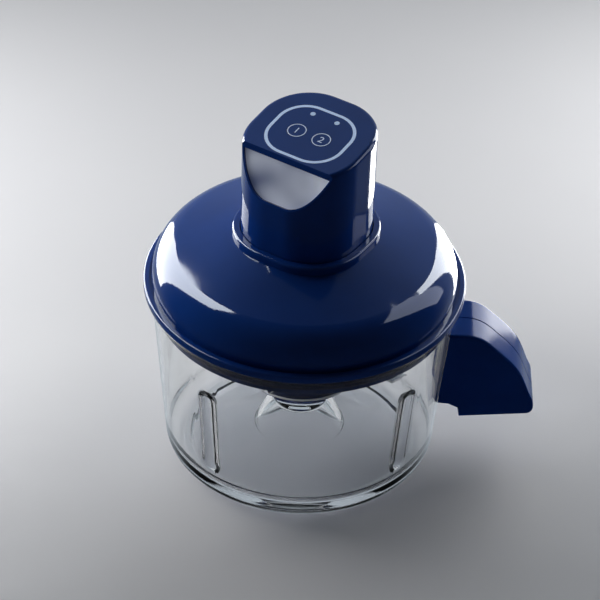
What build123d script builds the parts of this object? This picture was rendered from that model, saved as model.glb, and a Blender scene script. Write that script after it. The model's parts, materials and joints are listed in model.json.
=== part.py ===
"""Plunger food chopper: a glass bowl, a lift-off lid and a press-down drive head.

The bowl stands on z = 0 with the centre of its foot at the origin and its handle along +X.
The lid and the head that slides in it are turned about Z by HEAD_TURN. Lengths are in mm.
The head is drawn at the top of its stroke, where its spring holds it.
"""
from build123d import *
import math
import os

os.makedirs("parts", exist_ok=True)

# ------------------------------------------------------------ clearances
SLIDE_GAP = 0.35        # between the sliding head and what guides it
RUN_GAP = 0.05          # radial, between a shaft and its bearing
SEAT_GAP = 0.05         # between fixed pieces that fit into each other
LIFT_GAP = 0.3          # between the lid's plug and the bowl

# ------------------------------------------------------------ bowl
FOOT_R = 57.8           # foot ring, outer radius
FOOT_BAND = 4.5         # foot ring, radial width
FOOT_HEIGHT = 3.0
FOOT_RISE = 1.4         # underside above the table, inside the foot ring
FOOT_EDGE = 1.1
HEEL_STEP = 7.2         # the wall, carried down to the top of the foot ring, stands out this far
HEEL_CORNER = 7.6
MOUTH_R = 72.1          # wall, outer radius under the rim bead
RIM_Z = 93.4            # top of the glass
BEAD_HEIGHT = 4.6
BEAD_PROUD = 1.5
BEAD_EDGE = 1.4
GLASS = 4.0             # wall and floor thickness
FLOOR_Z = 5.3           # inside floor where it meets the wall
FLOOR_CORNER = 10.0
BOSS_R = 21.5           # centre boss, radius at its base
BOSS_Z = 12.8           # height at which the coned floor meets the boss
BOSS_TOP_R = 11.2
BOSS_TOP_Z = 36.2
BOSS_EDGE = 1.5
BOSS_WALL = 3.5
BOSS_ROOF = 5.0
CUP_R = 3.6             # recess in the boss for the spindle's nose
CUP_DEPTH = 5.4
CUP_EDGE = 0.6
RIB_COUNT = 4
RIB_TURN = 4.0          # degrees, the ribs against the bowl's diagonals
RIB_WIDTH = 8.6
RIB_PROUD = 7.0
RIB_ROOT = 0.8          # how far a rib reaches into the wall
RIB_LOW = 5.0
RIB_HIGH = 62.0
RIB_EDGE = 3.9

# ------------------------------------------------------------ handle
HANDLE_HALF = 14.5      # half of the handle's thickness
HANDLE_WALL = 2.6
HANDLE_ROOT = 50.0      # x inside the bowl from which the outline is drawn
HANDLE_TOP_Z = 75.6
HANDLE_SHOULDER = 77.0  # x where the top begins to curve down
HANDLE_CURVE = [(92.2, 67.9), (104.3, 54.3), (110.7, 39.5)]
HANDLE_TIP = (112.3, 33.4)
HANDLE_HEEL = (112.3, 29.4)
HEEL_ROUND = 3.7
HANDLE_NOTCH = (76.8, 25.9)
HANDLE_NOTCH_TOP = (75.9, 31.0)
HANDLE_LOW = (71.3, 33.2)
HANDLE_ROOT_Z = 34.8
HANDLE_EDGE = 1.4       # rounding along the side faces
SEAM_BEVEL = 0.4        # bevel along the joint of the two shells
SADDLE_LOW = 39.0
SADDLE_HIGH = 70.5
SADDLE_THICK = 3.0
SADDLE_SPAN = 17.0      # degrees round the bowl
TONGUE_HALF = 3.0
TONGUE_ROOT = 1.6       # how far the tongue reaches into the saddle
TONGUE_OUTLINE = [(94.0, 46.0), (94.0, 56.0), (86.0, 65.0)]
HANDLE_SCREW_SPOTS = [(80.5, 59.0), (88.5, 51.5)]
HANDLE_BOSS_R = 3.8
SCREW_R = 1.5
SCREW_HEAD_R = 2.8
SCREW_HEAD = 1.8
SCREW_GRIP = 6.0        # length of thread in the piece that a screw bites into

# ------------------------------------------------------------ lid
FLANGE_REACH = 2.4      # the flange stands out this far past the bowl's rim bead
FLANGE_WIDTH = 4.0      # flat of the flange, outside the dome
FLANGE_TOP = 97.2
FLANGE_EDGE = 1.0
DOME_ROUND = 16.0       # the shoulder's radius
DOME_SLOPE = 0.306      # fall of the plateau for each mm of radius
PLATEAU_R = 34.0        # radius at which PLATEAU_Z is measured
PLATEAU_Z = 123.2
LID_WALL = 2.4
LID_CORE_R = 24.0       # inside the opening for the head
GROOVE_WIDTH = 1.2      # groove between dome and flange
GROOVE_DEPTH = 0.9
COLLAR_WALL = 3.4
COLLAR_TOP = 127.4
COLLAR_EDGE = 1.3
LEDGE_Z = 119.0         # underside of the collar, on which the sleeve's top seats
SOCKET_WALL = 2.2
SOCKET_DEPTH = 6.0
SOCKET_TOP = 121.4      # inside the dome's shell
LINER_Z = 88.0          # upper face of the lid's inner plate
LINER_THICK = 2.0
SKIRT_LOW = 81.5
SKIRT_TOP = 96.0
SKIRT_WALL = 2.6
SKIRT_EDGE = 0.8
GASKET_LOW = 84.4
GASKET_HEIGHT = 3.2
GASKET_DEPTH = 1.2
LID_SCREW_RING = 52.0
LID_SCREW_COUNT = 4
LID_SCREW_START = 45    # degrees from +X to the first one
LID_POST_R = 3.2
SLEEVE_WALL = 2.4
SLEEVE_LOW = 72.0       # underside of the guide sleeve's floor
SLEEVE_FLOOR = 2.5
SLEEVE_FLANGE = 4.0
SLEEVE_EDGE = 1.5
BUSH_WALL = 1.9         # guide bush under the collar
BUSH_LENGTH = 8.5
SHAFT_BUSH_R = 7.0
SHAFT_BUSH_FLANGE_R = 9.0
SHAFT_BUSH_FLANGE = 0.7
SEAL_R = 5.6
SEAL_HEIGHT = 1.3

# ------------------------------------------------------------ sliding head
HEAD_TURN = -31.8       # degrees about Z, the head's front against the bowl's front
HEAD_FLAT = 4.8         # half of the flat between the rounded corners of the squared stem
HEAD_WALL = 2.2
HEAD_SPACE = 14.3       # from the motor's tail to the centre of the tilted top
PANEL_TILT = 7.5        # degrees, front lower
TRAVEL = 30.0           # stroke of the head
STOP_GAP = 1.5          # left under the head at the end of its stroke
CAP_THICK = 4.8
CAP_EDGE = 2.2
LIP_BACK = 9.9          # top edge of the scoop, behind the head's foremost point
LIP_DROP = 4.6          # lip under the centre of the tilted top
SCOOP_LEAN = 62.7       # degrees from level
SCOOP_RIM = 1.0
SCOOP_DEPTH = 2.6
SCOOP_WALL = 2.0
INLAY_THICK = 1.2
SPIGOT_DEPTH = 3.0
SPIGOT_WALL = 1.6
SPIGOT_FRONT = 14.2     # the spigot stops short of the wall behind the scoop
CUP_WALL = 1.4          # rim of the bottom cover, round the stem
CUP_FLOOR = 2.5
CUP_RIM = 1.9
POCKET_IN_R = 13.9      # spring pocket in the bottom cover
POCKET_OUT_R = 19.6
POCKET_WALL = 1.3
POCKET_TOP = 118.0
SMALL_SCREW_R = 1.1
SMALL_HEAD_R = 2.0
SMALL_HEAD = 1.2
COVER_SCREW_RING = 24.4
COVER_SCREW_COUNT = 4
COVER_SCREW_GRIP = 8.0
COVER_BOSS_R = 2.4
COVER_BOSS_HEIGHT = 9.5
SPRING_R = 17.0
SPRING_WIRE_R = 0.8
SPRING_TURNS = 7

# ------------------------------------------------------------ panel and keys, in the panel's axes
RING_IN_X = 9.9         # middle of the light ring, inside the head's sides
RING_IN_Y = 11.7        # and inside its front and back
RING_FLAT_X = 5.5       # half of the flat between the ring's corners, along its longer sides
RING_WIDTH = 1.5
PANEL_THICK = 1.6
WINDOW_INSET = 3.0      # from the light ring's middle to the opening under the panel
KEY_X = 6.58
KEY_Y = -0.98
KEY_R = 4.55
KEY_GAP = 0.2
KEY_TRAVEL = 0.6
KEY_FLANGE = 0.8
KEY_FLANGE_R = 5.6
KEY_STEM_R = 1.6
KEY_STEM_LOW = 4.6
REST_GAP = 0.1          # left open between a key and what stops it
LENS_X = 6.5
LENS_Y = 12.35
LENS_R = 1.25
LED_SIZE = 2.0
LED_HEIGHT = 0.8
SWITCH_SIZE = 6.0
SWITCH_BODY = 2.0
SWITCH_NUB_R = 1.7
BOARD_TOP = 8.1         # below the panel's face
BOARD_THICK = 1.6
BOARD_IN_X = 5.7        # the board's sides, inside the housing's wall
BOARD_IN_Y = 9.2
BOARD_Y = 3.0
BOARD_CORNER = 9.0
BOARD_POST_IN = 2.8     # the screws, inside the board's sides
BOARD_POST_Y = 7.0
BOARD_POST_R = 2.0
BOARD_SCREW_R = 0.8
BOARD_HEAD_R = 1.6
BOARD_HEAD = 1.0
BOARD_GRIP = 2.6

# ------------------------------------------------------------ drive
SHAFT_R = 4.0
SHAFT_HOLE_GAP = 0.6    # round the shaft where nothing carries it
NOSE_R = 3.2
NOSE_EDGE = 1.0
NOSE_GAP = 0.8          # under the nose at the end of the stroke
JOURNAL_R = 2.5
JOURNAL_LENGTH = 8.0
BEARING_R = 8.0
BEARING_HEIGHT = 5.0
BEARING_RACE = 1.3
GEARBOX_R = 12.5
GEARBOX_HEIGHT = 18.0
GEARBOX_SCREW_X = 10.4
MOTOR_R = 12.2
MOTOR_FLAT = 10.2
MOTOR_HEIGHT = 30.0
MOTOR_TAIL_R = 4.0
MOTOR_TAIL = 2.0
CAN_EDGE = 0.8
CELL_R = 7.0
CELL_HEIGHT = 42.0
CELL_GAP = 1.5          # between a cell and the gearbox
CELL_CLEAR = 0.69       # between a cell and the housing's wall
CELL_NUB_R = 2.5
CELL_NUB = 0.8
HOLDER_PLATE = 2.0
HOLDER_GAP = 0.6        # round the motor
HOLDER_WEB = 2.0
HUB_GAP = 1.3           # between the hub's bell and the boss
HUB_WALL = 1.9
HUB_LOW = 14.6          # underside of the hub's flange at the end of the stroke
HUB_FLANGE = 1.2
HUB_FLANGE_R = 26.0
HUB_ROOF = 2.0
BLADE_THICK = 1.2
BLADE_BEVEL = 2.0       # width of the ground edge
LOWER_RING_R = 27.0
LOWER_TIP_R = 50.0
LOWER_PITCH = 3.0       # degrees, tips down
UPPER_RING_R = 21.5
UPPER_TIP_R = 46.0
UPPER_PITCH = -9.0      # degrees, tips up
UPPER_TURN = 75.0       # degrees, the upper blade against the lower one
BLADE_ROOT = 7.0        # half width of an arm at its root
BLADE_TIP = 2.6         # half width of an arm near its tip
BLADE_SPACING = 12.7    # from the lower blade to the upper one
SPACER_WALL = 1.6
HUB_CAP_WALL = 2.4
HUB_CAP_ROOF = 1.4

# ------------------------------------------------------------ worked out from the sizes above
FLANGE_R = MOUTH_R + BEAD_PROUD + FLANGE_REACH
DOME_R = FLANGE_R - FLANGE_WIDTH

CELL_RING = GEARBOX_R + CELL_GAP + CELL_R
CELL_X = CELL_RING / math.sqrt(2)
HOUSING_IN_HALF = CELL_RING + CELL_R + CELL_CLEAR - HEAD_FLAT * (math.sqrt(2) - 1)
HEAD_HALF = HOUSING_IN_HALF + HEAD_WALL     # half width of the squared stem
HEAD_CORNER = HEAD_HALF - HEAD_FLAT
LIP_Y = LIP_BACK - HEAD_HALF
RING_HALF_X = HEAD_HALF - RING_IN_X
RING_HALF_Y = HEAD_HALF - RING_IN_Y
RING_CORNER = RING_HALF_X - RING_FLAT_X
BOARD_HALF_X = HOUSING_IN_HALF - BOARD_IN_X
BOARD_HALF_Y = HOUSING_IN_HALF - BOARD_IN_Y
BOARD_POST_X = BOARD_HALF_X - BOARD_POST_IN

HEEL_R = FOOT_R + HEEL_STEP
BEAD_Z = RIM_Z - BEAD_HEIGHT
BEAD_LOW = BEAD_Z - BEAD_PROUD / 2
WALL_LEAN = (MOUTH_R - HEEL_R) / (BEAD_Z - FOOT_HEIGHT)
BOSS_LEAN = (BOSS_R - BOSS_TOP_R) / (BOSS_TOP_Z - BOSS_Z)
CUP_Z = BOSS_TOP_Z - CUP_DEPTH
HOLLOW_TOP = CUP_Z - BOSS_ROOF

SLEEVE_FLOOR_TOP = SLEEVE_LOW + SLEEVE_FLOOR
COVER_LOW = SLEEVE_FLOOR_TOP + STOP_GAP + TRAVEL
STEM_LOW = COVER_LOW + CUP_FLOOR
BUSH_LOW = LEDGE_Z - BUSH_LENGTH
BEARING_TOP = STEM_LOW + BEARING_HEIGHT
GEARBOX_TOP = BEARING_TOP + GEARBOX_HEIGHT
MOTOR_TOP = GEARBOX_TOP + MOTOR_HEIGHT
HEAD_TOP = MOTOR_TOP + MOTOR_TAIL + HEAD_SPACE
LIP_Z = HEAD_TOP - LIP_DROP
HOLDER_LOW = POCKET_TOP + POCKET_WALL
CELL_LOW = HOLDER_LOW + HOLDER_PLATE
CELL_TOP = CELL_LOW + CELL_HEIGHT

CUP_IN_HALF = HEAD_HALF + SEAT_GAP
CUP_OUT_HALF = CUP_IN_HALF + CUP_WALL
SLEEVE_IN_HALF = CUP_OUT_HALF + SLIDE_GAP
SLEEVE_OUT_HALF = SLEEVE_IN_HALF + SLEEVE_WALL
BUSH_IN_HALF = HEAD_HALF + SLIDE_GAP
BUSH_OUT_HALF = BUSH_IN_HALF + BUSH_WALL
OPENING_HALF = BUSH_IN_HALF + SEAT_GAP
COLLAR_HALF = OPENING_HALF + COLLAR_WALL

HEAD = Plane(Location((0, 0, 0), (0, 0, HEAD_TURN)))
PANEL = Plane(HEAD.location * Location((0, 0, HEAD_TOP), (PANEL_TILT, 0, 0)))
CAP_SEAT = PANEL.offset(-CAP_THICK)
SCOOP = Plane(HEAD.location * Location((0, LIP_Y, LIP_Z), (SCOOP_LEAN, 0, 0)))
HEAD_SIDE = Plane(origin=(0, 0, 0), x_dir=HEAD.y_dir, z_dir=HEAD.x_dir)
ABOVE = HEAD_TOP + HEAD_HALF    # safely over the whole head
BOARD = PANEL.offset(-BOARD_TOP)

# heights of the drive at the end of the stroke; parked() lifts them to the drawn position
LOWER_Z = HUB_LOW + HUB_FLANGE
SPACER_Z = LOWER_Z + BLADE_THICK
UPPER_Z = LOWER_Z + BLADE_SPACING
HUB_CAP_Z = UPPER_Z + BLADE_THICK
HUB_ROOF_Z = BOSS_TOP_Z + HUB_GAP
HUB_TOP = HUB_ROOF_Z + HUB_ROOF


def parked(z):
    """Height of a point of the drive when the head is up."""
    return z + TRAVEL


def wall_outer(z):
    """Outer radius of the bowl's wall at a height."""
    return HEEL_R + (z - FOOT_HEIGHT) * WALL_LEAN


def wall_inner(z):
    """Inner radius of the bowl's wall at a height."""
    return wall_outer(z) - GLASS


def boss_radius(z):
    """Outer radius of the bowl's centre boss at a height."""
    return BOSS_R - (z - BOSS_Z) * BOSS_LEAN


def bell_inner(z):
    """Inner radius of the hub's bell at a height, head pressed."""
    return boss_radius(z) + HUB_GAP


def bell_outer(z):
    """Outer radius of the hub's bell at a height, head pressed."""
    return bell_inner(z) + HUB_WALL


def dome_height(r):
    """Height of the lid's plateau at a radius."""
    return PLATEAU_Z - (r - PLATEAU_R) * DOME_SLOPE


SKIRT_R = wall_inner(SKIRT_LOW) - 2 * LIFT_GAP


def squared(half, mode=Mode.ADD):
    """Draw the head's rounded square at a half width, its corners keeping their centres."""
    RectangleRounded(2 * half, 2 * half, HEAD_CORNER + half - HEAD_HALF, mode=mode)


def ring_outline(inset, mode=Mode.ADD):
    """Draw the light ring's outline, drawn in by a distance from its middle."""
    RectangleRounded(2 * (RING_HALF_X - inset), 2 * (RING_HALF_Y - inset), RING_CORNER - inset,
                     mode=mode)


def half_section(points):
    """Fill a closed outline given as radius, height and corner rounding."""
    with BuildLine() as outline:
        FilletPolyline(
            [(r, z) for r, z, _ in points],
            radius=[corner for _, _, corner in points],
            close=True,
        )
    make_face(outline.edges())


def screw(plane, length, radius, head_radius, head):
    """Screw with its thread along the plane's normal and its head behind the plane."""
    with BuildPart() as fastener:
        with BuildSketch(plane):
            Circle(radius)
        extrude(amount=length)
        with BuildSketch(plane):
            Circle(head_radius)
        extrude(amount=-head)
        with BuildSketch(plane.offset(-head)):
            RegularPolygon(head_radius / 2, 6)
        extrude(amount=head / 2, mode=Mode.SUBTRACT)
    return fastener.part


def keep(piece, name):
    """Label a finished piece and write it to its own file."""
    piece.part.label = name
    export_step(piece.part, f"parts/{name}.step")


# ------------------------------------------------------------ bowl
def bowl_rib():
    """One of the bowl's upright ribs, on its +X side."""
    middle = (RIB_LOW + RIB_HIGH) / 2
    lean = math.degrees(math.atan(WALL_LEAN))
    inner_face = Plane(Location((wall_inner(middle) - RIB_PROUD, 0, middle), (0, 90 + lean, 0)))
    with BuildPart() as rib:
        with BuildSketch(inner_face):
            SlotOverall(RIB_HIGH - RIB_LOW, RIB_WIDTH)
        extrude(amount=RIB_PROUD + RIB_ROOT)
        fillet(rib.faces().filter_by(inner_face).sort_by(Axis.X)[0].edges(), radius=RIB_EDGE)
    return rib.part


def make_glass_bowl():
    with BuildPart() as glass_bowl:
        with BuildSketch(Plane.XZ):
            half_section([
                (0, CUP_Z, 0),
                (CUP_R, CUP_Z, CUP_EDGE),
                (CUP_R, BOSS_TOP_Z, CUP_EDGE),
                (BOSS_TOP_R, BOSS_TOP_Z, BOSS_EDGE),
                (BOSS_R, BOSS_Z, BOSS_EDGE),
                (wall_inner(FLOOR_Z), FLOOR_Z, FLOOR_CORNER),
                (wall_inner(RIM_Z), RIM_Z, BEAD_EDGE),
                (MOUTH_R + BEAD_PROUD, RIM_Z, BEAD_EDGE),
                (MOUTH_R + BEAD_PROUD, BEAD_Z + BEAD_PROUD / 2, BEAD_EDGE),
                (wall_outer(BEAD_LOW), BEAD_LOW, BEAD_EDGE),
                (HEEL_R, FOOT_HEIGHT, HEEL_CORNER),
                (FOOT_R, FOOT_HEIGHT, 0),
                (FOOT_R, 0, FOOT_EDGE),
                (FOOT_R - FOOT_BAND, 0, FOOT_EDGE),
                (FOOT_R - FOOT_BAND - FOOT_RISE, FOOT_RISE, 0),
                (boss_radius(BOSS_Z - GLASS) - BOSS_WALL, BOSS_Z - GLASS, BOSS_EDGE),
                (boss_radius(HOLLOW_TOP) - BOSS_WALL, HOLLOW_TOP, BOSS_EDGE),
                (0, HOLLOW_TOP, 0),
            ])
        revolve(axis=Axis.Z)
        rib = bowl_rib()
        with PolarLocations(0, RIB_COUNT, start_angle=180 / RIB_COUNT + RIB_TURN):
            add(rib)
    keep(glass_bowl, "glass_bowl")


# ------------------------------------------------------------ handle
def drawn_in(points, inset):
    """Inner points of a falling curve, moved square to it towards the handle's middle."""
    moved = []
    for before, here, after in zip(points, points[1:], points[2:]):
        run, fall = after[0] - before[0], before[1] - after[1]
        step = inset / math.hypot(run, fall)
        moved.append((here[0] - fall * step, here[1] - run * step))
    return moved


def handle_outline(inset):
    """Draw the handle's side view, drawn in by a distance, its root inside the bowl."""
    start = (HANDLE_SHOULDER, HANDLE_TOP_Z - inset)
    tip = (HANDLE_TIP[0] - inset, HANDLE_TIP[1])
    heel = (HANDLE_HEEL[0] - inset, HANDLE_HEEL[1] + inset)
    notch = (HANDLE_NOTCH[0] + inset, HANDLE_NOTCH[1] + inset)
    outer_curve = [(HANDLE_SHOULDER, HANDLE_TOP_Z), *HANDLE_CURVE, HANDLE_TIP]
    with BuildLine() as outline:
        Line((HANDLE_ROOT, HANDLE_TOP_Z - inset), start)
        Spline(start, *drawn_in(outer_curve, inset), tip, tangents=((1, 0), (0, -1)))
        FilletPolyline(tip, heel, notch, radius=HEEL_ROUND - inset)
        Polyline(
            notch,
            (HANDLE_NOTCH_TOP[0] + inset, HANDLE_NOTCH_TOP[1] + inset / 2),
            (HANDLE_LOW[0] + inset / 2, HANDLE_LOW[1] + inset),
            (HANDLE_ROOT, HANDLE_ROOT_Z + inset),
            (HANDLE_ROOT, HANDLE_TOP_Z - inset),
        )
    make_face(outline.edges())


def bowl_envelope(gap):
    """Solid that fills the outside of the bowl's wall, a gap larger."""
    with BuildPart() as envelope:
        with BuildSketch(Plane.XZ):
            half_section([
                (0, FOOT_HEIGHT, 0),
                (wall_outer(FOOT_HEIGHT) + gap, FOOT_HEIGHT, 0),
                (wall_outer(RIM_Z) + gap, RIM_Z, 0),
                (0, RIM_Z, 0),
            ])
        revolve(axis=Axis.Z)
    return envelope.part


def handle_shell(side):
    """Half of the handle; side is -1 for the front half and 1 for the back half."""
    with BuildPart() as shell:
        with BuildSketch(Plane.XZ):
            handle_outline(0)
        extrude(amount=-side * HANDLE_HALF)
        seam, outer = shell.faces().sort_by(Axis.Y)[::side].filter_by(Axis.Y)
        fillet(outer.edges().filter_by(lambda edge: edge.center().X > HANDLE_ROOT + HANDLE_EDGE),
               radius=HANDLE_EDGE)
        chamfer(seam.edges().filter_by(lambda edge: edge.center().Z > HANDLE_ROOT_Z + HANDLE_EDGE
                                       and edge.center().X > HANDLE_ROOT + HANDLE_EDGE),
                length=SEAM_BEVEL)
        with BuildSketch(Plane.XZ):
            handle_outline(HANDLE_WALL)
        extrude(amount=-side * (HANDLE_HALF - HANDLE_WALL), mode=Mode.SUBTRACT)
        with BuildSketch(Plane.XZ.offset(-side * TONGUE_HALF)):
            with Locations(*HANDLE_SCREW_SPOTS):
                Circle(HANDLE_BOSS_R)
        extrude(amount=-side * (HANDLE_HALF - HANDLE_WALL / 2 - TONGUE_HALF))
        add(bowl_envelope(SEAT_GAP), mode=Mode.SUBTRACT)
        with BuildSketch(Plane.XZ.offset(-side * TONGUE_HALF)):
            with Locations(*HANDLE_SCREW_SPOTS):
                Circle(SCREW_R + SEAT_GAP)
        if side > 0:
            extrude(amount=-HANDLE_HALF, mode=Mode.SUBTRACT)
            with BuildSketch(Plane.XZ.offset(SCREW_HEAD - HANDLE_HALF)):
                with Locations(*HANDLE_SCREW_SPOTS):
                    Circle(SCREW_HEAD_R + SEAT_GAP)
            extrude(amount=-SCREW_HEAD, mode=Mode.SUBTRACT)
        else:
            extrude(amount=SCREW_GRIP, mode=Mode.SUBTRACT)
    return shell


def make_handle():
    keep(handle_shell(-1), "handle_shell_front")
    keep(handle_shell(1), "handle_shell_back")
    root = SEAT_GAP + TONGUE_ROOT
    low, high = TONGUE_OUTLINE[0][1], TONGUE_OUTLINE[-1][1]
    with BuildPart() as handle_bracket:
        with BuildSketch(Plane(Location((0, 0, 0), (0, 0, -SADDLE_SPAN / 2)) * Plane.XZ.location)):
            half_section([
                (wall_outer(SADDLE_LOW) + SEAT_GAP, SADDLE_LOW, 0),
                (wall_outer(SADDLE_LOW) + SADDLE_THICK, SADDLE_LOW, 0),
                (wall_outer(SADDLE_HIGH) + SADDLE_THICK, SADDLE_HIGH, 0),
                (wall_outer(SADDLE_HIGH) + SEAT_GAP, SADDLE_HIGH, 0),
            ])
        revolve(axis=Axis.Z, revolution_arc=SADDLE_SPAN)
        with BuildSketch(Plane.XZ):
            with BuildLine():
                Polyline((wall_outer(low) + root, low), *TONGUE_OUTLINE, (wall_outer(high) + root, high),
                         close=True)
            make_face()
            with Locations(*HANDLE_SCREW_SPOTS):
                Circle(SCREW_R + SEAT_GAP, mode=Mode.SUBTRACT)
        extrude(amount=TONGUE_HALF, both=True)
    keep(handle_bracket, "handle_bracket")
    with BuildPart() as handle_screws:
        for x, z in HANDLE_SCREW_SPOTS:
            seat = Plane(Location((x, HANDLE_HALF - SCREW_HEAD, z), (90, 0, 0)))
            length = HANDLE_HALF - SCREW_HEAD + TONGUE_HALF + SCREW_GRIP - REST_GAP
            add(screw(seat, length, SCREW_R, SCREW_HEAD_R, SCREW_HEAD))
    keep(handle_screws, "handle_screws")


# ------------------------------------------------------------ lid
def make_lid_cover():
    with BuildPart() as lid_cover:
        with BuildSketch(Plane.XZ):
            half_section([
                (LID_CORE_R, dome_height(LID_CORE_R), 0),
                (LID_CORE_R, dome_height(LID_CORE_R) - LID_WALL, 0),
                (DOME_R - LID_WALL, dome_height(DOME_R - LID_WALL) - LID_WALL, DOME_ROUND - LID_WALL),
                (DOME_R - LID_WALL, FLANGE_TOP - LID_WALL, 0),
                (SKIRT_R + SEAT_GAP, FLANGE_TOP - LID_WALL, 0),
                (SKIRT_R + SEAT_GAP, RIM_Z, 0),
                (FLANGE_R, RIM_Z, FLANGE_EDGE),
                (FLANGE_R, FLANGE_TOP, FLANGE_EDGE),
                (DOME_R + GROOVE_WIDTH, FLANGE_TOP, 0),
                (DOME_R + GROOVE_WIDTH, FLANGE_TOP - GROOVE_DEPTH, 0),
                (DOME_R, FLANGE_TOP - GROOVE_DEPTH, 0),
                (DOME_R, dome_height(DOME_R), DOME_ROUND),
            ])
        revolve(axis=Axis.Z)
        with BuildSketch(HEAD.offset(LEDGE_Z)):
            squared(COLLAR_HALF)
        extrude(amount=COLLAR_TOP - LEDGE_Z)
        top = lid_cover.faces().filter_by(Axis.Z).sort_by(Axis.Z)[-1]
        fillet(top.edges(), radius=COLLAR_EDGE)
        with BuildSketch(HEAD.offset(LEDGE_Z - SOCKET_DEPTH)):
            squared(SLEEVE_OUT_HALF + SEAT_GAP + SOCKET_WALL)
        extrude(amount=SOCKET_TOP - LEDGE_Z + SOCKET_DEPTH)
        with BuildSketch(HEAD.offset(LEDGE_Z)):
            squared(SLEEVE_OUT_HALF + SEAT_GAP)
        extrude(amount=-SOCKET_DEPTH, mode=Mode.SUBTRACT)
        with BuildSketch(HEAD.offset(LEDGE_Z - SOCKET_DEPTH)):
            squared(OPENING_HALF)
        extrude(amount=ABOVE - LEDGE_Z, mode=Mode.SUBTRACT)
        with BuildSketch(Plane.XY.offset(LINER_Z)):
            with PolarLocations(LID_SCREW_RING, LID_SCREW_COUNT, start_angle=LID_SCREW_START):
                Circle(LID_POST_R)
        extrude(amount=dome_height(LID_SCREW_RING) - LID_WALL / 2 - LINER_Z)
        with BuildSketch(Plane.XY.offset(LINER_Z)):
            with PolarLocations(LID_SCREW_RING, LID_SCREW_COUNT, start_angle=LID_SCREW_START):
                Circle(SCREW_R + SEAT_GAP)
        extrude(amount=SCREW_GRIP, mode=Mode.SUBTRACT)
    keep(lid_cover, "lid_cover")


def make_lid_liner():
    with BuildPart() as lid_liner:
        with BuildSketch(Plane.XZ):
            half_section([
                (LID_CORE_R, LINER_Z - LINER_THICK, 0),
                (SKIRT_R - SKIRT_WALL, LINER_Z - LINER_THICK, SKIRT_EDGE),
                (SKIRT_R - SKIRT_WALL, SKIRT_LOW, SKIRT_EDGE),
                (SKIRT_R, SKIRT_LOW, SKIRT_EDGE),
                (SKIRT_R, GASKET_LOW, 0),
                (SKIRT_R - GASKET_DEPTH, GASKET_LOW, 0),
                (SKIRT_R - GASKET_DEPTH, GASKET_LOW + GASKET_HEIGHT, 0),
                (SKIRT_R, GASKET_LOW + GASKET_HEIGHT, 0),
                (SKIRT_R, SKIRT_TOP, 0),
                (SKIRT_R - SKIRT_WALL, SKIRT_TOP, 0),
                (SKIRT_R - SKIRT_WALL, LINER_Z, SKIRT_EDGE),
                (LID_CORE_R, LINER_Z, 0),
            ])
        revolve(axis=Axis.Z)
        with BuildSketch(HEAD.offset(LINER_Z)):
            squared(SLEEVE_OUT_HALF + SEAT_GAP)
        extrude(amount=-LINER_THICK, mode=Mode.SUBTRACT)
        with BuildSketch(Plane.XY.offset(LINER_Z)):
            with PolarLocations(LID_SCREW_RING, LID_SCREW_COUNT, start_angle=LID_SCREW_START):
                Circle(SCREW_R + SEAT_GAP)
        extrude(amount=-LINER_THICK, mode=Mode.SUBTRACT)
    keep(lid_liner, "lid_liner")

    with BuildPart() as lid_gasket:
        inner = SKIRT_R - GASKET_DEPTH + SEAT_GAP
        outer = wall_inner(GASKET_LOW) - LIFT_GAP
        low, high = GASKET_LOW + SEAT_GAP, GASKET_LOW + GASKET_HEIGHT - SEAT_GAP
        waist = (low + high) / 2
        with BuildSketch(Plane.XZ):
            half_section([
                (inner, low, 0),
                (outer, low, SKIRT_EDGE / 2),
                (outer, waist - SEAL_HEIGHT / 2, SKIRT_EDGE / 4),
                (SKIRT_R, waist, SKIRT_EDGE / 4),
                (outer, waist + SEAL_HEIGHT / 2, SKIRT_EDGE / 4),
                (outer, high, SKIRT_EDGE / 2),
                (inner, high, 0),
            ])
        revolve(axis=Axis.Z)
    keep(lid_gasket, "lid_gasket")

    with BuildPart() as lid_screws:
        with PolarLocations(LID_SCREW_RING, LID_SCREW_COUNT, start_angle=LID_SCREW_START):
            add(screw(Plane.XY.offset(LINER_Z - LINER_THICK), LINER_THICK + SCREW_GRIP - REST_GAP,
                      SCREW_R, SCREW_HEAD_R, SCREW_HEAD))
    keep(lid_screws, "lid_screws")


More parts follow.
